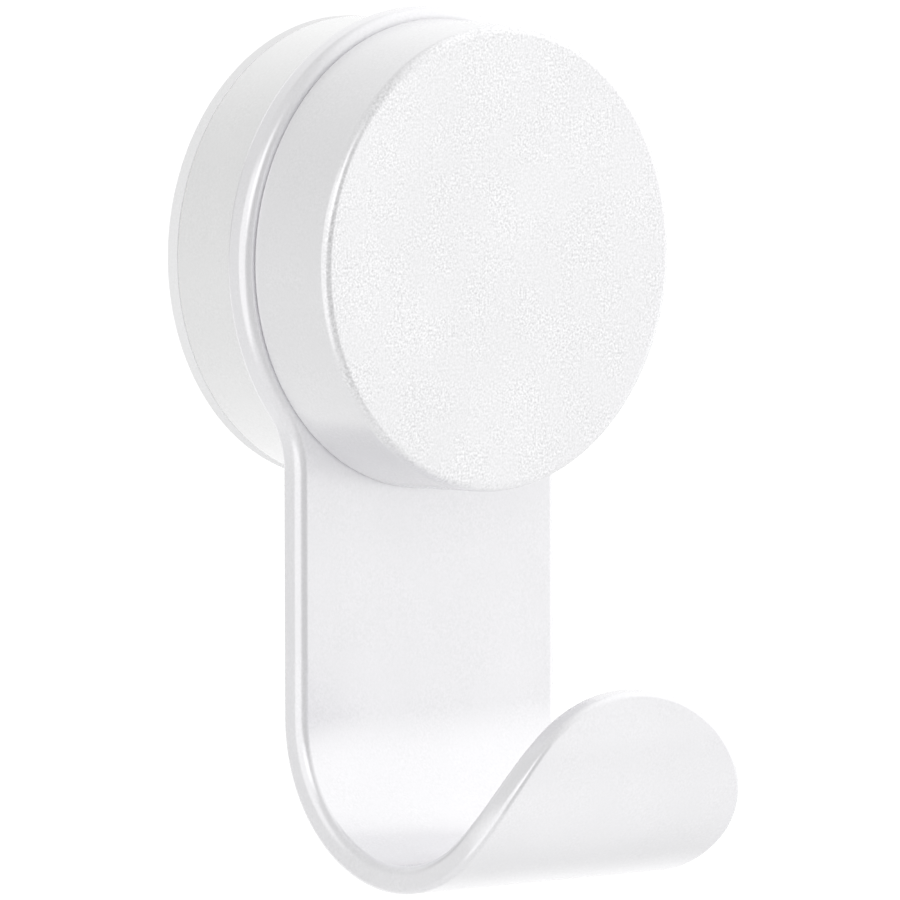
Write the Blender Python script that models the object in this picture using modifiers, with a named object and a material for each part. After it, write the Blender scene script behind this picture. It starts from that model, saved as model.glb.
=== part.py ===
"""A coated wall hook: a bent sheet hook clamped between a round base and a round cover.

A bracket on the wall carries it. Its thin flange shows behind the base, which slips over
its boss and is held there by a grub screw from below.

Units are metres. X points right, Y into the wall and Z up. The origin is the centre of
the bracket's wall face. Depths are measured from the wall towards the room, along -Y.
"""
import math

import bmesh
import bpy

# Clearances between pieces
SEAT_GAP = 0.0003
ROUND_GAP = 0.00015

# Both discs
DISC_RADIUS = 0.0250

# Base disc, a cup that is open to the wall
BASE_DEPTH = 0.0092
BASE_WALL = 0.0052
BASE_EDGE = 0.0003

# Sheet hook: the flat blank and its bend
SHEET = 0.0030
HEAD_PROUD = 0.0015
STRAP_WIDTH = 0.0372
NECK_RADIUS = 0.0100
BEND_DROP = 0.0491
BEND_RADIUS = 0.0147
BEND_ANGLE = math.radians(177.5)
LIP = 0.0048
SHEET_ROUNDING = 0.0011

# Front disc, a little wider at its back
COVER_DEPTH = 0.0110
COVER_DRAFT = 0.0003
COVER_ROUNDING = 0.0009
COVER_EDGE = 0.0004

# Wall bracket: a flange as wide as the discs, and a boss that the base slips over
FLANGE_DEPTH = 0.0014
FLANGE_EDGE = 0.0002
BOSS_DEPTH = 0.0040
BOSS_EDGE = 0.0003
GROOVE_RISE = 0.0025
GROOVE_SINK = 0.0010
WALL_HOLE_RADIUS = 0.00225
WALL_HOLE_INSET = 0.0085
COUNTERSINK_RADIUS = 0.0044

# Clamp screw, from inside the base into the front disc
CLAMP_RADIUS = 0.0020
CLAMP_HEAD_RADIUS = 0.0035
CLAMP_HEAD_DEPTH = 0.0028
CLAMP_REACH = 0.0080
CLAMP_HEX = 0.0025
CLAMP_HEX_SINK = 0.0014

# Locating pin, above the clamp screw
PIN_RADIUS = 0.0015
PIN_SINK = 0.0040
PIN_INSET = 0.0120

# Grub screw, at the bottom of the base
GRUB_RADIUS = 0.0015
GRUB_TIP_RADIUS = 0.0004
GRUB_SINK = 0.0009
GRUB_HEX = 0.0015
GRUB_HEX_SINK = 0.0015

SCREW_CHAMFER = 0.0003

# Facets: of a full circle, a rounded edge, a neck fillet, the half-round end and the bend
DISC_FACETS = 96
SMALL_FACETS = 24
ROUNDING_FACETS = 3
NECK_FACETS = 8
END_FACETS = 36
BEND_FACETS = 30

# Radii and places that follow from the sizes above
HEAD_RADIUS = DISC_RADIUS + HEAD_PROUD
RECESS_RADIUS = DISC_RADIUS - BASE_WALL
BOSS_RADIUS = RECESS_RADIUS - SEAT_GAP
WALL_HOLE_OFFSET = BOSS_RADIUS - WALL_HOLE_INSET
PIN_OFFSET = DISC_RADIUS - PIN_INSET
HALF_WIDTH = STRAP_WIDTH / 2
NEUTRAL_RADIUS = BEND_RADIUS + SHEET / 2

# Depths that follow from the sizes above, each measured from the wall
GROOVE_PLACE = FLANGE_DEPTH + GROOVE_RISE
BOSS_FRONT = FLANGE_DEPTH + BOSS_DEPTH
BASE_BACK = FLANGE_DEPTH + SEAT_GAP
BASE_FRONT = BASE_BACK + BASE_DEPTH
RECESS_FLOOR = BOSS_FRONT + SEAT_GAP
CLAMP_SEAT = RECESS_FLOOR + CLAMP_HEAD_DEPTH
PLATE_BACK = BASE_FRONT + SEAT_GAP
PLATE_FRONT = PLATE_BACK + SHEET
COVER_BACK = PLATE_FRONT + SEAT_GAP
CLAMP_END = COVER_BACK + CLAMP_REACH

TOWARDS_ROOM = (math.pi / 2, 0, 0)


def new_collection(name):
    """Return a new collection, linked to the scene."""
    collection = bpy.data.collections.new(name)
    bpy.context.scene.collection.children.link(collection)
    return collection


def clear_scene():
    """Remove every object that the file holds."""
    for thing in list(bpy.data.objects):
        bpy.data.objects.remove(thing, do_unlink=True)


def new_material(name, colour, roughness, metallic):
    """Return a Principled material."""
    material = bpy.data.materials.new(name)
    material.use_nodes = True
    shader = material.node_tree.nodes["Principled BSDF"]
    shader.inputs["Base Color"].default_value = (*colour, 1)
    shader.inputs["Roughness"].default_value = roughness
    shader.inputs["Metallic"].default_value = metallic
    return material


def new_object(name, mesh, collection, material=None):
    """Put a mesh into a collection as a named object."""
    thing = bpy.data.objects.new(name, mesh)
    collection.objects.link(thing)
    if material:
        mesh.materials.append(material)
    return thing


def rounded_corner(before, corner, after, radius):
    """Return the points that replace a corner by a tangent arc."""
    to_before = (before[0] - corner[0], before[1] - corner[1])
    to_after = (after[0] - corner[0], after[1] - corner[1])
    length_before = math.hypot(*to_before)
    length_after = math.hypot(*to_after)
    unit_before = (to_before[0] / length_before, to_before[1] / length_before)
    unit_after = (to_after[0] / length_after, to_after[1] / length_after)
    dot = unit_before[0] * unit_after[0] + unit_before[1] * unit_after[1]
    half_angle = math.acos(max(-1, min(1, dot))) / 2
    run = radius / math.tan(half_angle)
    reach = radius / math.sin(half_angle)
    middle = (unit_before[0] + unit_after[0], unit_before[1] + unit_after[1])
    size = math.hypot(*middle)
    centre = (corner[0] + middle[0] / size * reach, corner[1] + middle[1] / size * reach)
    first = (corner[0] + unit_before[0] * run, corner[1] + unit_before[1] * run)
    start = math.atan2(first[1] - centre[1], first[0] - centre[0])
    cross = unit_before[0] * unit_after[1] - unit_before[1] * unit_after[0]
    sweep = math.copysign(math.pi - 2 * half_angle, cross)
    points = []
    for step in range(ROUNDING_FACETS + 1):
        angle = start - sweep * step / ROUNDING_FACETS
        points.append((centre[0] + radius * math.cos(angle), centre[1] + radius * math.sin(angle)))
    return points


def profile_points(corners, closed):
    """Turn corners (radius, height, rounding) into the points of a turned profile."""
    points = []
    count = len(corners)
    for index, (radius, height, rounding) in enumerate(corners):
        at_end = not closed and index in (0, count - 1)
        if rounding and not at_end:
            before = corners[index - 1][:2]
            after = corners[(index + 1) % count][:2]
            points.extend(rounded_corner(before, (radius, height), after, rounding))
        else:
            points.append((radius, height))
    return points


def turned(name, corners, closed, facets, collection, material=None):
    """Turn a profile about the object's Z axis. Its outer side runs from top to bottom."""
    points = profile_points(corners, closed)
    mesh = bpy.data.meshes.new(name)
    edges = [(index, index + 1) for index in range(len(points) - 1)]
    if closed:
        edges.append((len(points) - 1, 0))
    mesh.from_pydata([(radius, 0, height) for radius, height in points], edges, [])
    thing = new_object(name, mesh, collection, material)
    screw = thing.modifiers.new("turn", "SCREW")
    screw.axis = "Z"
    screw.angle = 2 * math.pi
    screw.steps = facets
    screw.render_steps = facets
    screw.use_merge_vertices = True
    screw.merge_threshold = 0.000001
    screw.use_smooth_shade = False
    return thing


def cut(target, cutter, name):
    """Cut one object from another and keep the cutter as a guide."""
    cutter.hide_render = True
    cutter.display_type = "WIRE"
    boolean = target.modifiers.new(name, "BOOLEAN")
    boolean.operation = "DIFFERENCE"
    boolean.solver = "EXACT"
    boolean.object = cutter


def prism(name, radius, low, high, facets, collection):
    """Make an upright prism between two heights on the object's Z axis."""
    mesh = bpy.data.meshes.new(name)
    shape = bmesh.new()
    bmesh.ops.create_cone(
        shape, cap_ends=True, segments=facets, radius1=radius, radius2=radius, depth=high - low
    )
    bmesh.ops.translate(shape, verts=shape.verts, vec=(0, 0, (low + high) / 2))
    shape.to_mesh(mesh)
    shape.free()
    return new_object(name, mesh, collection)


def hex_radius(across_flats):
    """Return the corner radius of a hexagon."""
    return across_flats / math.sqrt(3)


def arc(centre, radius, start, end, facets):
    """Return points along an arc, both ends included. Angles run from +X towards +Z."""
    points = []
    for step in range(facets + 1):
        angle = start + (end - start) * step / facets
        points.append((centre[0] + radius * math.cos(angle), centre[1] + radius * math.sin(angle)))
    return points


def blank_outline():
    """Return the flat blank's outline in X and Z, and the height where its end arc starts.

    The head's arc runs into a concave neck on each side, then the strap's straight sides
    run down to a half-round end. Below the bend line, Z is the length along the neutral
    layer of the sheet.
    """
    neck_x = HALF_WIDTH + NECK_RADIUS
    neck_z = -math.sqrt((HEAD_RADIUS + NECK_RADIUS) ** 2 - neck_x**2)
    neck_angle = math.atan2(-neck_z, neck_x)
    blank_length = BEND_DROP + NEUTRAL_RADIUS * BEND_ANGLE + LIP
    end_z = HALF_WIDTH - blank_length
    head_facets = round(DISC_FACETS * (math.pi + 2 * neck_angle) / (2 * math.pi))
    outline = arc((0, 0), HEAD_RADIUS, math.pi + neck_angle, -neck_angle, head_facets)
    outline += arc((neck_x, neck_z), NECK_RADIUS, math.pi - neck_angle, math.pi, NECK_FACETS)[1:]
    outline += arc((0, end_z), HALF_WIDTH, 0, -math.pi, END_FACETS)
    outline += arc((-neck_x, neck_z), NECK_RADIUS, 0, neck_angle, NECK_FACETS)[:-1]
    return outline, end_z


def bend(vertex):
    """Move a vertex of the flat blank to its place on the bent sheet."""
    depth = -vertex.co.y
    beyond = -vertex.co.z - BEND_DROP
    if beyond <= 0:
        return
    angle = min(beyond / NEUTRAL_RADIUS, BEND_ANGLE)
    straight = beyond - NEUTRAL_RADIUS * angle
    radius = BEND_RADIUS + SHEET - depth
    vertex.co.y = -(SHEET + BEND_RADIUS) + radius * math.cos(angle) - straight * math.sin(angle)
    vertex.co.z = -BEND_DROP - radius * math.sin(angle) - straight * math.cos(angle)


def bend_lines(end_z):
    """Return the heights on the blank at which it folds, from the bend line to its tip."""
    lines = []
    for fold in range(BEND_FACETS + 1):
        height = -BEND_DROP - NEUTRAL_RADIUS * BEND_ANGLE * fold / BEND_FACETS
        if height > end_z:
            lines.append(height)
    flat_end = HALF_WIDTH - SHEET_ROUNDING
    quarter = arc((0, end_z), flat_end, 0, -math.pi / 2, END_FACETS // 2)
    lines.extend(point[1] for point in quarter[:-1])
    return lines


def make_hook_plate(collection, material):
    """Cut the blank, round its edges and bend it, as the sheet itself is made."""
    outline, end_z = blank_outline()
    shape = bmesh.new()
    corners = [shape.verts.new((x, 0, z)) for x, z in outline]
    face = shape.faces.new(corners)
    face.normal_update()
    if face.normal.y < 0:
        bmesh.ops.reverse_faces(shape, faces=[face])
    grown = bmesh.ops.extrude_face_region(shape, geom=[face], use_keep_orig=True)
    front = [item for item in grown["geom"] if isinstance(item, bmesh.types.BMVert)]
    bmesh.ops.translate(shape, verts=front, vec=(0, -SHEET, 0))
    bmesh.ops.recalc_face_normals(shape, faces=shape.faces)
    rims = [edge for edge in shape.edges if abs(edge.verts[0].co.y - edge.verts[1].co.y) < SHEET / 2]
    bmesh.ops.bevel(
        shape,
        geom=rims,
        offset=SHEET_ROUNDING,
        offset_type="OFFSET",
        segments=ROUNDING_FACETS,
        profile=0.5,
        affect="EDGES",
    )
    for height in bend_lines(end_z):
        everything = shape.verts[:] + shape.edges[:] + shape.faces[:]
        bmesh.ops.bisect_plane(
            shape, geom=everything, dist=0.000001, plane_co=(0, 0, height), plane_no=(0, 0, 1)
        )
    for vertex in shape.verts:
        bend(vertex)
    bmesh.ops.recalc_face_normals(shape, faces=shape.faces)
    mesh = bpy.data.meshes.new("hook_plate")
    shape.to_mesh(mesh)
    shape.free()
    plate = new_object("hook_plate", mesh, collection, material)
    plate.location = (0, -PLATE_BACK, 0)
    return plate


def make_base_disc(collection, material):
    """Turn the base: a cup that is open to the wall, with a seat for the clamp screw."""
    seat_depth = CLAMP_SEAT + SEAT_GAP
    bore_radius = CLAMP_RADIUS + SEAT_GAP
    counterbore_radius = CLAMP_HEAD_RADIUS + SEAT_GAP
    corners = [
        (bore_radius, BASE_FRONT, 0),
        (DISC_RADIUS, BASE_FRONT, BASE_EDGE),
        (DISC_RADIUS, BASE_BACK, BASE_EDGE),
        (RECESS_RADIUS, BASE_BACK, 0),
        (RECESS_RADIUS, RECESS_FLOOR, 0),
        (counterbore_radius, RECESS_FLOOR, 0),
        (counterbore_radius, seat_depth, 0),
        (bore_radius, seat_depth, 0),
    ]
    base = turned("base_disc", corners, True, DISC_FACETS, collection, material)
    base.rotation_euler = TOWARDS_ROOM
    return base


def make_front_disc(collection, material):
    """Turn the front disc: solid, with a blind threaded bore at its back."""
    bore_radius = CLAMP_RADIUS + ROUND_GAP
    bore_depth = CLAMP_REACH + SEAT_GAP
    corners = [
        (0, COVER_DEPTH, 0),
        (DISC_RADIUS, COVER_DEPTH, COVER_ROUNDING),
        (DISC_RADIUS + COVER_DRAFT, 0, COVER_EDGE),
        (bore_radius, 0, 0),
        (bore_radius, bore_depth, 0),
        (0, bore_depth, 0),
    ]
    front = turned("front_disc", corners, False, DISC_FACETS, collection, material)
    front.rotation_euler = TOWARDS_ROOM
    front.location = (0, -COVER_BACK, 0)
    return front


def make_wall_bracket(collection, material):
    """Turn the bracket: a flange, and a boss with a V groove round it."""
    corners = [
        (0, BOSS_FRONT, 0),
        (BOSS_RADIUS, BOSS_FRONT, BOSS_EDGE),
        (BOSS_RADIUS, GROOVE_PLACE + GROOVE_SINK, 0),
        (BOSS_RADIUS - GROOVE_SINK, GROOVE_PLACE, 0),
        (BOSS_RADIUS, GROOVE_PLACE - GROOVE_SINK, 0),
        (BOSS_RADIUS, FLANGE_DEPTH, 0),
        (DISC_RADIUS, FLANGE_DEPTH, FLANGE_EDGE),
        (DISC_RADIUS, 0, FLANGE_EDGE),
        (0, 0, 0),
    ]
    bracket = turned("wall_bracket", corners, False, DISC_FACETS, collection, material)
    bracket.rotation_euler = TOWARDS_ROOM
    return bracket


def make_clamp_screw(collection, material):
    """Turn the low-head clamp screw, its head at the wall side."""
    length = CLAMP_END - RECESS_FLOOR
    corners = [
        (0, length, 0),
        (CLAMP_RADIUS - SCREW_CHAMFER, length, 0),
        (CLAMP_RADIUS, length - SCREW_CHAMFER, 0),
        (CLAMP_RADIUS, CLAMP_HEAD_DEPTH, 0),
        (CLAMP_HEAD_RADIUS, CLAMP_HEAD_DEPTH, 0),
        (CLAMP_HEAD_RADIUS, SCREW_CHAMFER, 0),
        (CLAMP_HEAD_RADIUS - SCREW_CHAMFER, 0, 0),
        (0, 0, 0),
    ]
    screw = turned("clamp_screw", corners, False, SMALL_FACETS, collection, material)
    screw.rotation_euler = TOWARDS_ROOM
    screw.location = (0, -RECESS_FLOOR, 0)
    return screw


def make_locating_pin(collection, material):
    """Turn the dowel that keeps the sheet upright."""
    back = BASE_FRONT - PIN_SINK + SEAT_GAP
    length = COVER_BACK + PIN_SINK - SEAT_GAP - back
    corners = [
        (0, length, 0),
        (PIN_RADIUS - SCREW_CHAMFER, length, 0),
        (PIN_RADIUS, length - SCREW_CHAMFER, 0),
        (PIN_RADIUS, SCREW_CHAMFER, 0),
        (PIN_RADIUS - SCREW_CHAMFER, 0, 0),
        (0, 0, 0),
    ]
    pin = turned("locating_pin", corners, False, SMALL_FACETS, collection, material)
    pin.rotation_euler = TOWARDS_ROOM
    pin.location = (0, -back, PIN_OFFSET)
    return pin


def make_grub_screw(collection, material):
    """Turn the cone-point grub screw, its tip one seat gap from the groove's walls."""
    tip = BOSS_RADIUS - GROOVE_SINK + GRUB_TIP_RADIUS + SEAT_GAP * math.sqrt(2)
    length = DISC_RADIUS - GRUB_SINK - tip
    cone = GRUB_RADIUS - GRUB_TIP_RADIUS
    corners = [
        (0, length, 0),
        (GRUB_RADIUS - SCREW_CHAMFER, length, 0),
        (GRUB_RADIUS, length - SCREW_CHAMFER, 0),
        (GRUB_RADIUS, cone, 0),
        (GRUB_TIP_RADIUS, 0, 0),
        (0, 0, 0),
    ]
    grub = turned("grub_screw", corners, False, SMALL_FACETS, collection, material)
    grub.rotation_euler = (math.pi, 0, 0)
    grub.location = (0, -GROOVE_PLACE, -tip)
    return grub, length


def cut_pin_holes(base, plate, front, cutters):
    """Drill the pin's hole in the base, the sheet and the front disc."""
    low = BASE_FRONT - PIN_SINK
    high = COVER_BACK + PIN_SINK
    drill = prism("pin_drill", PIN_RADIUS + ROUND_GAP, low, high, SMALL_FACETS, cutters)
    drill.rotation_euler = TOWARDS_ROOM
    drill.location = (0, 0, PIN_OFFSET)
    for target in (base, plate, front):
        cut(target, drill, "pin hole")


def cut_clamp_hole(plate, cutters):
    """Drill the clamp screw's clearance hole in the sheet."""
    drill = prism("clamp_drill", CLAMP_RADIUS + SEAT_GAP, BASE_FRONT, COVER_BACK, SMALL_FACETS, cutters)
    drill.rotation_euler = TOWARDS_ROOM
    cut(plate, drill, "clamp hole")


def cut_grub_hole(base, cutters):
    """Drill the grub screw's radial hole up through the bottom of the base."""
    low = BOSS_RADIUS - GROOVE_SINK
    high = DISC_RADIUS + GRUB_SINK
    drill = prism("grub_drill", GRUB_RADIUS + ROUND_GAP, low, high, SMALL_FACETS, cutters)
    drill.rotation_euler = (math.pi, 0, 0)
    drill.location = (0, -GROOVE_PLACE, 0)
    cut(base, drill, "grub hole")


def cut_wall_holes(bracket, cutters):
    """Drill and countersink the two wall screw holes, left and right of the centre."""
    sink = COUNTERSINK_RADIUS - WALL_HOLE_RADIUS
    above = BOSS_FRONT + SEAT_GAP
    corners = [
        (0, above, 0),
        (COUNTERSINK_RADIUS, above, 0),
        (COUNTERSINK_RADIUS, BOSS_FRONT - SEAT_GAP, 0),
        (WALL_HOLE_RADIUS, BOSS_FRONT - SEAT_GAP - sink, 0),
        (WALL_HOLE_RADIUS, -SEAT_GAP, 0),
        (0, -SEAT_GAP, 0),
    ]
    for side, x in (("left", -WALL_HOLE_OFFSET), ("right", WALL_HOLE_OFFSET)):
        drill = turned(f"wall_drill_{side}", corners, False, SMALL_FACETS, cutters)
        drill.rotation_euler = TOWARDS_ROOM
        drill.location = (x, 0, 0)
        cut(bracket, drill, f"wall hole {side}")


def cut_clamp_socket(screw, cutters):
    """Sink the hexagon socket in the clamp screw's head."""
    key = prism("clamp_key", hex_radius(CLAMP_HEX), -SEAT_GAP, CLAMP_HEX_SINK, 6, cutters)
    key.rotation_euler = TOWARDS_ROOM
    key.location = (0, -RECESS_FLOOR, 0)
    cut(screw, key, "socket")


def cut_grub_socket(grub, length, cutters):
    """Sink the hexagon socket in the grub screw's outer end."""
    key = prism("grub_key", hex_radius(GRUB_HEX), length - GRUB_HEX_SINK, length + SEAT_GAP, 6, cutters)
    key.rotation_euler = grub.rotation_euler
    key.location = grub.location
    cut(grub, key, "socket")


def main():
    """Build the hook."""
    clear_scene()
    parts = new_collection("wall_hook")
    cutters = new_collection("cutters")
    disc_coating = new_material("disc_coating", (0.86, 0.86, 0.86), 0.45, 0)
    cover_coating = new_material("cover_coating", (0.87, 0.87, 0.87), 0.5, 0)
    sheet_coating = new_material("sheet_coating", (0.85, 0.85, 0.86), 0.4, 0)
    bracket_coating = new_material("bracket_coating", (0.85, 0.85, 0.85), 0.5, 0)
    screw_steel = new_material("screw_steel", (0.5, 0.5, 0.52), 0.35, 1)
    grub_steel = new_material("grub_steel", (0.46, 0.46, 0.48), 0.38, 1)
    pin_steel = new_material("pin_steel", (0.6, 0.6, 0.62), 0.25, 1)

    base = make_base_disc(parts, disc_coating)
    plate = make_hook_plate(parts, sheet_coating)
    front = make_front_disc(parts, cover_coating)
    bracket = make_wall_bracket(parts, bracket_coating)
    clamp = make_clamp_screw(parts, screw_steel)
    make_locating_pin(parts, pin_steel)
    grub, grub_length = make_grub_screw(parts, grub_steel)

    cut_pin_holes(base, plate, front, cutters)
    cut_clamp_hole(plate, cutters)
    cut_grub_hole(base, cutters)
    cut_wall_holes(bracket, cutters)
    cut_clamp_socket(clamp, cutters)
    cut_grub_socket(grub, grub_length, cutters)


main()
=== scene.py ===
"""Dresses the coated wall hook: fine meshes, coatings, studio light and the photograph's camera.

Metres; X points right, Y into the wall and Z up. The origin is the centre of the
bracket's wall face.
"""

import math

import bmesh
import bpy
from mathutils import Matrix, Vector


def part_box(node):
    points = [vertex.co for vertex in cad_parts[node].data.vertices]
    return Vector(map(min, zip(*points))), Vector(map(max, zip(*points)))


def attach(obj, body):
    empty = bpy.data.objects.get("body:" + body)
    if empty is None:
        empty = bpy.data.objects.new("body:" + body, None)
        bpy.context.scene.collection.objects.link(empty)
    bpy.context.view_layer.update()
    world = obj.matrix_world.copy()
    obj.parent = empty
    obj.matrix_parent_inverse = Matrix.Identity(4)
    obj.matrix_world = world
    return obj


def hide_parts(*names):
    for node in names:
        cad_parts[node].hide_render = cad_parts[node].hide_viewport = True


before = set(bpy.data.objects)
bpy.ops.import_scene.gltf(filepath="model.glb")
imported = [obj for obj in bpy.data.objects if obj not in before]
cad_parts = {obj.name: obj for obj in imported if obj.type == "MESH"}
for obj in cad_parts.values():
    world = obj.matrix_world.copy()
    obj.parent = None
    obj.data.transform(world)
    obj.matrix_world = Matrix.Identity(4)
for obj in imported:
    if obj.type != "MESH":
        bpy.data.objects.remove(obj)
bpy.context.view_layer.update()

# Camera, solved from the edges of the discs and the sheet in the 900 x 900 photograph
CAMERA_AZIMUTH = math.radians(-42.285)
CAMERA_ELEVATION = math.radians(4.728)
CAMERA_ROLL = math.radians(-0.124)
CAMERA_DISTANCE = 2.2
CAMERA_TARGET = Vector((0, -0.012, 0))
PICTURE_SIZE = 900
TARGET_PIXEL = (415.009, 252.287)
PIXELS_PER_METRE = 9299
SENSOR = 0.036
CLIP_START = 0.1
CLIP_END = 20
MILLIMETRES = 1000

# Soft light around the object. Each area has, in degrees, the azimuth (0 is the room, 90 the
# right) and elevation of its middle, the angle to which it is even and the angle at which it
# ends, and then how much it adds.
LIGHT_LEVEL = 0.65
LIGHT_AREAS = (
    (-138, 0, 0, 30, 0.05),
    (-86, 0, 34, 42, 0.44),
    (-42, 25, 0, 24, 0.83),
    (66, -18, 0, 56, 0.27),
    (75, 35, 0, 63, 0.66),
    (156, 2, 0, 62, 0.44),
    (20, -85, 30, 100, 0.18),
    (-8, -5, 22, 36, -0.17),
    (-168, 8, 0, 20, -0.57),
)

# Floor, below the picture
FLOOR_HEIGHT = -0.6
FLOOR_RADIUS = 0.3
FLOOR_COLOUR = (0.9, 0.9, 0.9)
FLOOR_ROUGHNESS = 0.9
FLOOR_CLOUD_SIZE = 0.2
FLOOR_CLOUD_TONE = 0.005

# Sizes of the discs and the sheet, from the frame
DISC_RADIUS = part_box("base_disc")[1].x
COVER_BACK_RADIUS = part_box("front_disc")[1].x
HEAD_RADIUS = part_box("hook_plate")[1].z
COVER_BACK = -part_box("front_disc")[1].y
COVER_FRONT = -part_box("front_disc")[0].y
BASE_BACK = -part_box("base_disc")[1].y
BASE_FRONT = -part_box("base_disc")[0].y
PLATE_BACK = -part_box("hook_plate")[1].y
BOSS_FRONT = -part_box("wall_bracket")[0].y
CLAMP_HEAD = -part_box("clamp_screw")[1].y
CLAMP_END = -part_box("clamp_screw")[0].y
PIN_BACK = -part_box("locating_pin")[1].y
PIN_END = -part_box("locating_pin")[0].y

# Clearances
SEAT_GAP = 0.0003
ROUND_GAP = 0.00015
SEAM = 0.00005

# The sheet's blank and bend
SHEET = 0.0030
STRAP_WIDTH = 0.0372
NECK_RADIUS = 0.0100
BEND_DROP = 0.0491
BEND_RADIUS = 0.0147
BEND_ANGLE = math.radians(177.5)
LIP = 0.0048
FRONT_ROUNDING = 0.0011
BACK_ROUNDING = 0.00065
HALF_WIDTH = STRAP_WIDTH / 2
NEUTRAL_RADIUS = BEND_RADIUS + SHEET / 2

# Edges and recesses of the turned pieces
COVER_ROUNDING = 0.0009
COVER_EDGE = 0.0004
BASE_WALL = 0.0052
BASE_EDGE = 0.0003
FLANGE_DEPTH = 0.0014
FLANGE_FRONT = BASE_BACK - SEAM
FLANGE_EDGE = 0.0002
BOSS_EDGE = 0.0003
GROOVE_OFFSET = 0.0025
GROOVE_PLACE = FLANGE_DEPTH + GROOVE_OFFSET
GROOVE_SINK = 0.0010
RECESS_RADIUS = DISC_RADIUS - BASE_WALL
BOSS_RADIUS = RECESS_RADIUS - SEAT_GAP

# Wall holes
WALL_HOLE_RADIUS = 0.00225
WALL_HOLE_INSET = 0.0085
WALL_HOLE_OFFSET = BOSS_RADIUS - WALL_HOLE_INSET
COUNTERSINK_RADIUS = 0.0044

# Clamp screw (M4), grub screw (M3) and locating pin
CLAMP_RADIUS = 0.0020
CLAMP_PITCH = 0.0007
CLAMP_HEAD_RADIUS = 0.0035
CLAMP_HEAD_DEPTH = 0.0028
CLAMP_HEX = 0.0025
CLAMP_HEX_SINK = 0.0014
GRUB_RADIUS = 0.0015
GRUB_PITCH = 0.0005
GRUB_TIP_RADIUS = 0.0004
GRUB_HEX = 0.0015
GRUB_HEX_SINK = 0.0015
GRUB_TIP = -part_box("grub_screw")[1].z
GRUB_END = -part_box("grub_screw")[0].z
PIN_RADIUS = 0.0015
PIN_INSET = 0.0120
PIN_OFFSET = DISC_RADIUS - PIN_INSET
SCREW_CHAMFER = 0.0003
HEAD_EDGE = 0.0001
THREAD_SINK = 0.6
THREAD_ROWS = 8

# Facets
DISC_FACETS = 288
SMALL_FACETS = 64
ROUNDING_FACETS = 10
BEND_FACETS = 116
END_FACETS = 120
NECK_FACETS = 24

# Limits for sharp corners, for points that are one, and for points that lie on a shank
SHARP_ANGLE = math.radians(32)
WELD_DISTANCE = 0.0000005
SHANK_TOLERANCE = 0.000001

# Grain, patches and clouds of the blasted coatings
GRAIN_SIZE = 0.00026
GRAIN_GLOSS = 0.03
GRAIN_BUMP = 0.5
GRAIN_DEPTH = 0.000010
PATCH_SIZE = 0.0040
PATCH_CONTRAST = 0.4
CLOUD_SIZE = 0.0150
CLOUD_TONE = 0.010

# Marks and smudges of the turned steel
MARK_SIZE = 0.0020
MARK_STRETCH = 12
MARK_TONES = (0.92, 1.06)
MARK_BUMP = 0.6
SMUDGE_SIZE = 0.0015
SMUDGE_SHINE = 0.05
SMUDGE_DULLNESS = 0.08

# Heights between which each noise takes effect
GRAIN_HEIGHTS = (0.25, 0.75)
MARK_HEIGHTS = (0.3, 0.7)
CLOUD_HEIGHTS = (0.35, 0.65)

TOWARDS_ROOM = Matrix.Rotation(math.pi / 2, 4, "X")
DOWNWARDS = Matrix.Translation((0, -GROOVE_PLACE, 0)) @ Matrix.Rotation(math.pi, 4, "X")


def rounded_corner(before, corner, after, radius, facets):
    """Return the points that replace a corner by a tangent arc."""
    corner = Vector(corner)
    to_before = (Vector(before) - corner).normalized()
    to_after = (Vector(after) - corner).normalized()
    half_angle = to_before.angle(to_after) / 2
    middle = (to_before + to_after).normalized()
    centre = corner + middle * (radius / math.sin(half_angle))
    first = corner + to_before * (radius / math.tan(half_angle)) - centre
    start = math.atan2(first.y, first.x)
    cross = to_before.x * to_after.y - to_before.y * to_after.x
    sweep = math.copysign(math.pi - 2 * half_angle, cross)
    points = []
    for step in range(facets + 1):
        angle = start - sweep * step / facets
        points.append((centre.x + radius * math.cos(angle), centre.y + radius * math.sin(angle)))
    return points


def profile_points(corners):
    """Turn corners (radius, depth, rounding) into the points of a profile."""
    points = []
    count = len(corners)
    for index, (radius, depth, rounding) in enumerate(corners):
        if rounding:
            before = corners[index - 1][:2]
            after = corners[(index + 1) % count][:2]
            points.extend(rounded_corner(before, (radius, depth), after, rounding, ROUNDING_FACETS))
        else:
            points.append((radius, depth))
    return points


def new_piece(name, shape):
    """Make an object from a bmesh, shaded smooth with sharp corners kept."""
    bmesh.ops.recalc_face_normals(shape, faces=shape.faces)
    mesh = bpy.data.meshes.new(name)
    shape.to_mesh(mesh)
    shape.free()
    mesh.shade_smooth()
    mesh.set_sharp_from_angle(angle=SHARP_ANGLE)
    piece = bpy.data.objects.new(name, mesh)
    bpy.context.scene.collection.objects.link(piece)
    return piece


def turned(name, corners, closed, facets, place=TOWARDS_ROOM):
    """Turn a profile of radii and heights about an axis. TOWARDS_ROOM makes heights depths."""
    points = profile_points(corners)
    shape = bmesh.new()
    ring = [shape.verts.new((radius, 0, depth)) for radius, depth in points]
    edges = [shape.edges.new(pair) for pair in zip(ring, ring[1:])]
    if closed:
        edges.append(shape.edges.new((ring[-1], ring[0])))
    bmesh.ops.spin(
        shape, geom=ring + edges, cent=(0, 0, 0), axis=(0, 0, 1), angle=2 * math.pi, steps=facets,
        use_merge=True, use_duplicate=False,
    )
    bmesh.ops.remove_doubles(shape, verts=shape.verts, dist=WELD_DISTANCE)
    bmesh.ops.transform(shape, matrix=place, verts=shape.verts)
    return new_piece(name, shape)


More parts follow.
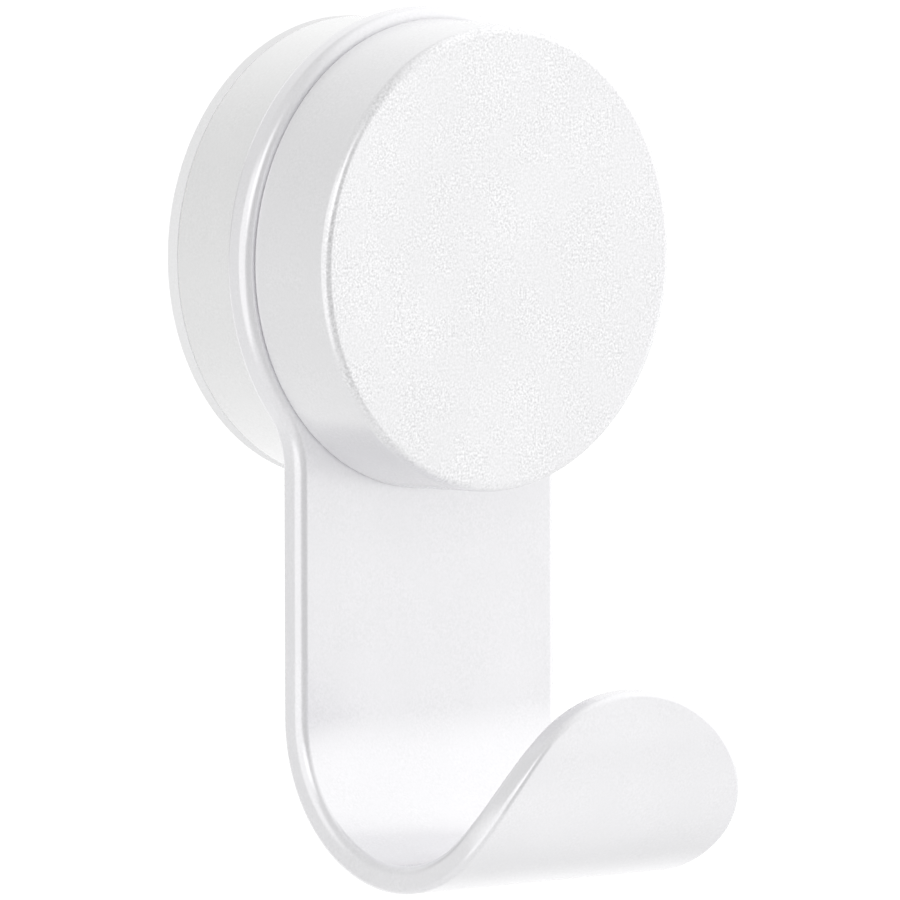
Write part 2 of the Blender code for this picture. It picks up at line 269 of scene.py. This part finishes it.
def thread_points(radius, start, end, pitch):
    """Return profile corners along a shank, close enough together to take a thread."""
    count = round(THREAD_ROWS * (end - start) / pitch)
    return [(radius, start + (end - start) * row / count, 0) for row in range(count + 1)]


def cut_thread(piece, place, radius, start, end, pitch):
    """Sink a helical thread into a shank between two heights on its axis."""
    to_axis = place.inverted()
    for vertex in piece.data.vertices:
        point = to_axis @ vertex.co
        if abs(math.hypot(point.x, point.y) - radius) > SHANK_TOLERANCE:
            continue
        run_out = min((point.z - start) / pitch, (end - point.z) / pitch, 1)
        if run_out <= 0:
            continue
        turns = point.z / pitch - math.atan2(point.y, point.x) / (2 * math.pi)
        valley = abs(2 * (turns % 1) - 1)
        shrink = 1 - THREAD_SINK * pitch * valley * run_out / radius
        point.x *= shrink
        point.y *= shrink
        vertex.co = place @ point


def drill(radius, low, high, place=TOWARDS_ROOM, facets=SMALL_FACETS):
    """Make a straight cutter between two heights on an axis."""
    shape = bmesh.new()
    bmesh.ops.create_cone(
        shape, cap_ends=True, segments=facets, radius1=radius, radius2=radius, depth=high - low
    )
    bmesh.ops.translate(shape, verts=shape.verts, vec=(0, 0, (low + high) / 2))
    bmesh.ops.transform(shape, matrix=place, verts=shape.verts)
    return new_piece("cutter", shape)


def pin_drill():
    """Make the cutter for the locating pin's hole."""
    place = Matrix.Translation((0, 0, PIN_OFFSET)) @ TOWARDS_ROOM
    return drill(PIN_RADIUS + ROUND_GAP, PIN_BACK - SEAT_GAP, PIN_END + SEAT_GAP, place)


def cut(piece, *cutters):
    """Cut the cutters from a piece for good, then remove them."""
    for cutter in cutters:
        boolean = piece.modifiers.new("cut", "BOOLEAN")
        boolean.operation = "DIFFERENCE"
        boolean.solver = "EXACT"
        boolean.object = cutter
    bpy.context.view_layer.update()
    evaluated = piece.evaluated_get(bpy.context.evaluated_depsgraph_get())
    piece.data = bpy.data.meshes.new_from_object(evaluated)
    piece.data.name = piece.name
    piece.modifiers.clear()
    piece.data.set_sharp_from_angle(angle=SHARP_ANGLE)
    for cutter in cutters:
        bpy.data.objects.remove(cutter, do_unlink=True)


def finish_piece(piece, material, slot, *nodes):
    """Give a piece its material and even shading, and let it stand for its CAD nodes."""
    piece.data.materials.clear()
    piece.data.materials.append(material)
    weighted = piece.modifiers.new("even shading", "WEIGHTED_NORMAL")
    weighted.keep_sharp = True
    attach(piece, "root")
    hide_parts(*nodes)


def arc(centre, radius, start, end, facets):
    """Return points along an arc, both ends included. Angles run from +X towards +Z."""
    points = []
    for step in range(facets + 1):
        angle = start + (end - start) * step / facets
        points.append((centre[0] + radius * math.cos(angle), centre[1] + radius * math.sin(angle)))
    return points


def blank_outline():
    """Return the flat blank's outline in X and Z, and the height where its end arc starts."""
    neck_x = HALF_WIDTH + NECK_RADIUS
    neck_z = -math.sqrt((HEAD_RADIUS + NECK_RADIUS) ** 2 - neck_x**2)
    neck_angle = math.atan2(-neck_z, neck_x)
    end_z = HALF_WIDTH - (BEND_DROP + NEUTRAL_RADIUS * BEND_ANGLE + LIP)
    head_facets = round(DISC_FACETS * (math.pi + 2 * neck_angle) / (2 * math.pi))
    outline = arc((0, 0), HEAD_RADIUS, math.pi + neck_angle, -neck_angle, head_facets)
    outline += arc((neck_x, neck_z), NECK_RADIUS, math.pi - neck_angle, math.pi, NECK_FACETS)[1:]
    outline += arc((0, end_z), HALF_WIDTH, 0, -math.pi, END_FACETS)
    outline += arc((-neck_x, neck_z), NECK_RADIUS, 0, neck_angle, NECK_FACETS)[:-1]
    return outline, end_z


def bend(point):
    """Return the place on the bent sheet of a point on the flat blank."""
    beyond = -point.z - BEND_DROP
    if beyond <= 0:
        return point
    angle = min(beyond / NEUTRAL_RADIUS, BEND_ANGLE)
    straight = beyond - NEUTRAL_RADIUS * angle
    radius = BEND_RADIUS + SHEET + point.y
    y = -(SHEET + BEND_RADIUS) + radius * math.cos(angle) - straight * math.sin(angle)
    z = -BEND_DROP - radius * math.sin(angle) - straight * math.cos(angle)
    return Vector((point.x, y, z))


def make_hook_plate(material):
    """Make the blank, round its edges, fold it and drill it."""
    outline, end_z = blank_outline()
    shape = bmesh.new()
    face = shape.faces.new([shape.verts.new((x, 0, z)) for x, z in outline])
    grown = bmesh.ops.extrude_face_region(shape, geom=[face], use_keep_orig=True)
    front = [item for item in grown["geom"] if isinstance(item, bmesh.types.BMVert)]
    bmesh.ops.translate(shape, verts=front, vec=(0, -SHEET, 0))
    bmesh.ops.recalc_face_normals(shape, faces=shape.faces)
    for depth, rounding in ((0, BACK_ROUNDING), (SHEET, FRONT_ROUNDING)):
        rim = [
            edge for edge in shape.edges
            if max(abs(vertex.co.y + depth) for vertex in edge.verts) < SHEET / 10
        ]
        bmesh.ops.bevel(
            shape, geom=rim, offset=rounding, offset_type="OFFSET", segments=ROUNDING_FACETS,
            profile=0.5, affect="EDGES",
        )
    fold_step = NEUTRAL_RADIUS * BEND_ANGLE / BEND_FACETS
    for fold in range(BEND_FACETS + 1):
        height = -BEND_DROP - fold_step * fold
        if height > end_z - HALF_WIDTH + FRONT_ROUNDING:
            everything = shape.verts[:] + shape.edges[:] + shape.faces[:]
            bmesh.ops.bisect_plane(
                shape, geom=everything, dist=WELD_DISTANCE, plane_co=(0, 0, height), plane_no=(0, 0, 1)
            )
    for vertex in shape.verts:
        vertex.co = bend(vertex.co)
    bmesh.ops.translate(shape, verts=shape.verts, vec=(0, -PLATE_BACK, 0))
    plate = new_piece("hook_sheet", shape)
    cut(plate, pin_drill(), drill(CLAMP_RADIUS + SEAT_GAP, BASE_FRONT, COVER_BACK))
    finish_piece(plate, material, "sheet_coating", "hook_plate")
    return plate


def make_front_disc(material):
    """Turn the front disc, with a blind bore for the clamp screw, and drill it for the pin."""
    bore_radius = CLAMP_RADIUS + ROUND_GAP
    bore_end = CLAMP_END + SEAT_GAP
    seat = PLATE_BACK + SHEET + SEAM
    corners = [
        (0, COVER_FRONT, 0),
        (DISC_RADIUS, COVER_FRONT, COVER_ROUNDING),
        (COVER_BACK_RADIUS, seat, COVER_EDGE),
        (bore_radius, seat, 0),
        (bore_radius, bore_end, 0),
        (0, bore_end, 0),
    ]
    piece = turned("front_cover", corners, False, DISC_FACETS)
    cut(piece, pin_drill())
    finish_piece(piece, material, "cover_coating", "front_disc")


def make_base_disc(material):
    """Turn the base, a cup that is open to the wall, and drill it for the pin and the grub screw."""
    bore_radius = CLAMP_RADIUS + SEAT_GAP
    counterbore_radius = CLAMP_HEAD_RADIUS + SEAT_GAP
    recess_floor = BOSS_FRONT + SEAT_GAP
    seat = CLAMP_HEAD + CLAMP_HEAD_DEPTH + SEAT_GAP
    corners = [
        (bore_radius, PLATE_BACK - SEAM, 0),
        (DISC_RADIUS, PLATE_BACK - SEAM, BASE_EDGE),
        (DISC_RADIUS, BASE_BACK, SEAM),
        (RECESS_RADIUS, BASE_BACK, 0),
        (RECESS_RADIUS, recess_floor, 0),
        (counterbore_radius, recess_floor, 0),
        (counterbore_radius, seat, 0),
        (bore_radius, seat, 0),
    ]
    piece = turned("rear_base", corners, True, DISC_FACETS)
    grub_drill = drill(GRUB_RADIUS + ROUND_GAP, BOSS_RADIUS - GROOVE_SINK, HEAD_RADIUS, DOWNWARDS)
    cut(piece, pin_drill(), grub_drill)
    finish_piece(piece, material, "disc_coating", "base_disc")


def make_wall_bracket(material):
    """Turn the bracket, a flange and a grooved boss, and drill and countersink its wall holes."""
    corners = [
        (0, BOSS_FRONT, 0),
        (BOSS_RADIUS, BOSS_FRONT, BOSS_EDGE),
        (BOSS_RADIUS, GROOVE_PLACE + GROOVE_SINK, 0),
        (BOSS_RADIUS - GROOVE_SINK, GROOVE_PLACE, 0),
        (BOSS_RADIUS, GROOVE_PLACE - GROOVE_SINK, 0),
        (BOSS_RADIUS, FLANGE_FRONT, 0),
        (DISC_RADIUS, FLANGE_FRONT, SEAM),
        (DISC_RADIUS, 0, FLANGE_EDGE),
        (0, 0, 0),
    ]
    piece = turned("rear_bracket", corners, False, DISC_FACETS)
    sink = COUNTERSINK_RADIUS - WALL_HOLE_RADIUS
    hole = [
        (0, BOSS_FRONT + SEAT_GAP, 0),
        (COUNTERSINK_RADIUS, BOSS_FRONT + SEAT_GAP, 0),
        (COUNTERSINK_RADIUS, BOSS_FRONT - SEAT_GAP, 0),
        (WALL_HOLE_RADIUS, BOSS_FRONT - SEAT_GAP - sink, 0),
        (WALL_HOLE_RADIUS, -SEAT_GAP, 0),
        (0, -SEAT_GAP, 0),
    ]
    for x in (-WALL_HOLE_OFFSET, WALL_HOLE_OFFSET):
        place = Matrix.Translation((x, 0, 0)) @ TOWARDS_ROOM
        cut(piece, turned("cutter", hole, False, SMALL_FACETS, place))
    finish_piece(piece, material, "bracket_coating", "wall_bracket")


def make_clamp_screw(material):
    """Turn the clamp screw, cut its thread and sink its hexagon socket."""
    thread_start = BASE_FRONT + SHEET
    thread_end = CLAMP_END - SCREW_CHAMFER
    seat = CLAMP_HEAD + CLAMP_HEAD_DEPTH
    shank = thread_points(CLAMP_RADIUS, thread_start, thread_end, CLAMP_PITCH)
    corners = [
        (0, CLAMP_END, 0),
        (CLAMP_RADIUS - SCREW_CHAMFER, CLAMP_END, 0),
        *reversed(shank),
        (CLAMP_RADIUS, seat, 0),
        (CLAMP_HEAD_RADIUS, seat, HEAD_EDGE),
        (CLAMP_HEAD_RADIUS, CLAMP_HEAD, SCREW_CHAMFER),
        (0, CLAMP_HEAD, 0),
    ]
    piece = turned("clamping_screw", corners, False, SMALL_FACETS)
    cut_thread(piece, TOWARDS_ROOM, CLAMP_RADIUS, thread_start, thread_end + CLAMP_PITCH, CLAMP_PITCH)
    socket = CLAMP_HEX / math.sqrt(3)
    cut(piece, drill(socket, CLAMP_HEAD - SEAT_GAP, CLAMP_HEAD + CLAMP_HEX_SINK, facets=6))
    finish_piece(piece, material, "screw_steel", "clamp_screw")


def make_grub_screw(material):
    """Turn the cone-point grub screw, cut its thread and sink its hexagon socket."""
    cone_end = GRUB_TIP + GRUB_RADIUS - GRUB_TIP_RADIUS
    thread_end = GRUB_END - SCREW_CHAMFER
    shank = thread_points(GRUB_RADIUS, cone_end, thread_end, GRUB_PITCH)
    corners = [
        (0, GRUB_END, 0),
        (GRUB_RADIUS - SCREW_CHAMFER, GRUB_END, 0),
        *reversed(shank),
        (GRUB_TIP_RADIUS, GRUB_TIP, 0),
        (0, GRUB_TIP, 0),
    ]
    piece = turned("set_screw", corners, False, SMALL_FACETS, DOWNWARDS)
    cut_thread(piece, DOWNWARDS, GRUB_RADIUS, cone_end, thread_end + GRUB_PITCH, GRUB_PITCH)
    socket = GRUB_HEX / math.sqrt(3)
    cut(piece, drill(socket, GRUB_END - GRUB_HEX_SINK, GRUB_END + SEAT_GAP, DOWNWARDS, facets=6))
    finish_piece(piece, material, "screw_steel", "grub_screw")


def make_locating_pin(material):
    """Turn the dowel, rounded at both ends."""
    corners = [
        (0, PIN_END, 0),
        (PIN_RADIUS, PIN_END, SCREW_CHAMFER),
        (PIN_RADIUS, PIN_BACK, SCREW_CHAMFER),
        (0, PIN_BACK, 0),
    ]
    place = Matrix.Translation((0, 0, PIN_OFFSET)) @ TOWARDS_ROOM
    piece = turned("dowel", corners, False, SMALL_FACETS, place)
    finish_piece(piece, material, "screw_steel", "locating_pin")


def add_node(tree, kind, *values, **settings):
    """Add a node, set its properties, and link or set its inputs in order. None skips one."""
    node = tree.nodes.new(kind)
    for name, value in settings.items():
        setattr(node, name, value)
    for socket, value in zip(node.inputs, values):
        if isinstance(value, bpy.types.NodeSocket):
            tree.links.new(value, socket)
        elif value is not None:
            socket.default_value = value
    return node


def noise(tree, place, size, detail, roughness=0.5):
    """Add noise with features of a size in metres and return its height."""
    return add_node(tree, "ShaderNodeTexNoise", place, None, 1 / size, detail, roughness).outputs["Fac"]


def map_range(tree, value, from_low, from_high, to_low, to_high):
    """Map a value from one range to another, smoothly at both ends."""
    node = add_node(
        tree, "ShaderNodeMapRange", value, from_low, from_high, to_low, to_high,
        interpolation_type="SMOOTHSTEP",
    )
    return node.outputs["Result"]


def calculate(tree, operation, *values):
    """Do one step of arithmetic and return its result."""
    return add_node(tree, "ShaderNodeMath", *values, operation=operation).outputs["Value"]


def new_material(name, metallic):
    """Return a new material, its node tree, its shader and the place on the object in metres."""
    material = bpy.data.materials.new(name)
    material.use_nodes = True
    tree = material.node_tree
    shader = tree.nodes["Principled BSDF"]
    shader.inputs["Metallic"].default_value = metallic
    return material, tree, shader, tree.nodes.new("ShaderNodeTexCoord").outputs["Object"]


def tint(tree, shader, colour, tone):
    """Give a shader a colour whose brightness follows a tone near 1."""
    tinted = add_node(tree, "ShaderNodeVectorMath", colour, operation="SCALE")
    tree.links.new(tone, tinted.inputs["Scale"])
    tree.links.new(tinted.outputs["Vector"], shader.inputs["Base Color"])


def coating(name, colour, metallic, roughness, speckle, face_speckle=None):
    """Make a blasted and coated surface: fine grain, faint clouds and uneven gloss."""
    material, tree, shader, place = new_material(name, metallic)
    grain = noise(tree, place, GRAIN_SIZE, 1)
    patches = noise(tree, place, PATCH_SIZE, 3)
    clouds = noise(tree, place, CLOUD_SIZE, 2)
    low, high = speckle * (1 - PATCH_CONTRAST), speckle * (1 + PATCH_CONTRAST)
    contrast = map_range(tree, patches, *CLOUD_HEIGHTS, low, high)
    if face_speckle:
        depth = add_node(tree, "ShaderNodeSeparateXYZ", place).outputs["Y"]
        more = map_range(
            tree, depth, -COVER_FRONT, -COVER_FRONT + COVER_ROUNDING, face_speckle / speckle, 1
        )
        contrast = calculate(tree, "MULTIPLY", contrast, more)
    centred = calculate(tree, "SUBTRACT", grain, 0.5)
    tone = calculate(tree, "MULTIPLY_ADD", centred, contrast, 1.0)
    cloud_tone = map_range(tree, clouds, *CLOUD_HEIGHTS, 1 - CLOUD_TONE, 1 + CLOUD_TONE)
    tint(tree, shader, colour, calculate(tree, "MULTIPLY", tone, cloud_tone))
    gloss = map_range(tree, grain, *GRAIN_HEIGHTS, roughness - GRAIN_GLOSS, roughness + GRAIN_GLOSS)
    tree.links.new(gloss, shader.inputs["Roughness"])
    bump = add_node(tree, "ShaderNodeBump")
    bump.inputs["Strength"].default_value = GRAIN_BUMP
    bump.inputs["Distance"].default_value = GRAIN_DEPTH
    tree.links.new(grain, bump.inputs["Height"])
    tree.links.new(bump.outputs["Normal"], shader.inputs["Normal"])
    return material


def steel(name, colour, roughness, axis):
    """Make turned steel, with fine marks round an axis (1 for Y, 2 for Z)."""
    material, tree, shader, place = new_material(name, 1)
    stretch = [1, 1, 1]
    stretch[axis] = MARK_STRETCH
    marks_place = add_node(tree, "ShaderNodeVectorMath", place, tuple(stretch), operation="MULTIPLY")
    marks = noise(tree, marks_place.outputs["Vector"], MARK_SIZE, 3)
    smudges = noise(tree, place, SMUDGE_SIZE, 2)
    tint(tree, shader, colour, map_range(tree, marks, *MARK_HEIGHTS, *MARK_TONES))
    low, high = roughness - SMUDGE_SHINE, roughness + SMUDGE_DULLNESS
    gloss = map_range(tree, smudges, *CLOUD_HEIGHTS, low, high)
    tree.links.new(gloss, shader.inputs["Roughness"])
    bump = add_node(tree, "ShaderNodeBump")
    bump.inputs["Strength"].default_value = MARK_BUMP
    bump.inputs["Distance"].default_value = GRAIN_DEPTH
    tree.links.new(marks, bump.inputs["Height"])
    tree.links.new(bump.outputs["Normal"], shader.inputs["Normal"])
    return material


def make_camera():
    """Place the camera at the photograph's viewing angle, moved sideways so that the frame fits."""
    azimuth = CAMERA_AZIMUTH
    elevation = CAMERA_ELEVATION
    back = Vector((
        math.sin(azimuth) * math.cos(elevation),
        -math.cos(azimuth) * math.cos(elevation),
        math.sin(elevation),
    ))
    right = Vector((math.cos(azimuth), math.sin(azimuth), 0))
    up = back.cross(right)
    rolled_right = right * math.cos(CAMERA_ROLL) + up * math.sin(CAMERA_ROLL)
    rolled_up = up * math.cos(CAMERA_ROLL) - right * math.sin(CAMERA_ROLL)
    across = (TARGET_PIXEL[0] - PICTURE_SIZE / 2) / PIXELS_PER_METRE
    above = (PICTURE_SIZE / 2 - TARGET_PIXEL[1]) / PIXELS_PER_METRE
    place = CAMERA_TARGET + back * CAMERA_DISTANCE - rolled_right * across - rolled_up * above
    data = bpy.data.cameras.new("camera")
    data.sensor_width = SENSOR * MILLIMETRES
    data.lens = PIXELS_PER_METRE * CAMERA_DISTANCE / PICTURE_SIZE * SENSOR * MILLIMETRES
    data.clip_start = CLIP_START
    data.clip_end = CLIP_END
    camera = bpy.data.objects.new("camera", data)
    bpy.context.scene.collection.objects.link(camera)
    turn = Matrix((rolled_right, rolled_up, back)).transposed().to_4x4()
    camera.matrix_world = Matrix.Translation(place) @ turn
    bpy.context.scene.camera = camera


def make_world():
    """Light the object softly from all round."""
    world = bpy.data.worlds.new("studio")
    bpy.context.scene.world = world
    world.use_nodes = True
    tree = world.node_tree
    direction = tree.nodes.new("ShaderNodeTexCoord").outputs["Generated"]
    level = LIGHT_LEVEL
    for azimuth, elevation, even, end, strength in LIGHT_AREAS:
        azimuth, elevation = math.radians(azimuth), math.radians(elevation)
        middle = (
            math.sin(azimuth) * math.cos(elevation),
            -math.cos(azimuth) * math.cos(elevation),
            math.sin(elevation),
        )
        near = add_node(tree, "ShaderNodeVectorMath", direction, middle, operation="DOT_PRODUCT")
        rise = math.cos(math.radians(end)), math.cos(math.radians(even))
        area = map_range(tree, near.outputs["Value"], *rise, 0, strength)
        level = calculate(tree, "ADD", area, level)
    tree.links.new(level, tree.nodes["Background"].inputs["Strength"])
    tree.nodes["Background"].inputs["Color"].default_value = (1, 1, 1, 1)


def make_floor():
    """Lay a round pale floor, low enough to stay out of the photograph's view."""
    shape = bmesh.new()
    bmesh.ops.create_circle(shape, cap_ends=True, segments=128, radius=FLOOR_RADIUS)
    bmesh.ops.translate(shape, verts=shape.verts, vec=(0, 0, FLOOR_HEIGHT))
    floor = new_piece("floor", shape)
    material, tree, shader, place = new_material("floor_paint", 0)
    shader.inputs["Roughness"].default_value = FLOOR_ROUGHNESS
    clouds = noise(tree, place, FLOOR_CLOUD_SIZE, 2)
    tone = map_range(tree, clouds, *CLOUD_HEIGHTS, 1 - FLOOR_CLOUD_TONE, 1 + FLOOR_CLOUD_TONE)
    tint(tree, shader, FLOOR_COLOUR, tone)
    floor.data.materials.append(material)


make_camera()
make_world()
make_floor()
make_hook_plate(coating(
    "sheet_coating_look", (0.900, 0.896, 0.914), metallic=0.5, roughness=0.22, speckle=0.14
))
make_front_disc(coating(
    "cover_coating_look", (0.900, 0.898, 0.910), metallic=0.5, roughness=0.22, speckle=0.15,
    face_speckle=0.62,
))
make_base_disc(coating(
    "disc_coating_look", (0.915, 0.915, 0.917), metallic=0.5, roughness=0.22, speckle=0.15
))
make_wall_bracket(coating(
    "bracket_coating_look", (0.89, 0.89, 0.895), metallic=0.0, roughness=0.55, speckle=0.10
))
make_clamp_screw(steel("clamp_steel_look", (0.58, 0.58, 0.60), roughness=0.32, axis=1))
make_grub_screw(steel("grub_steel_look", (0.46, 0.46, 0.48), roughness=0.36, axis=2))
make_locating_pin(steel("pin_steel_look", (0.66, 0.66, 0.68), roughness=0.24, axis=1))

scene = bpy.context.scene
scene.view_settings.view_transform = "Standard"
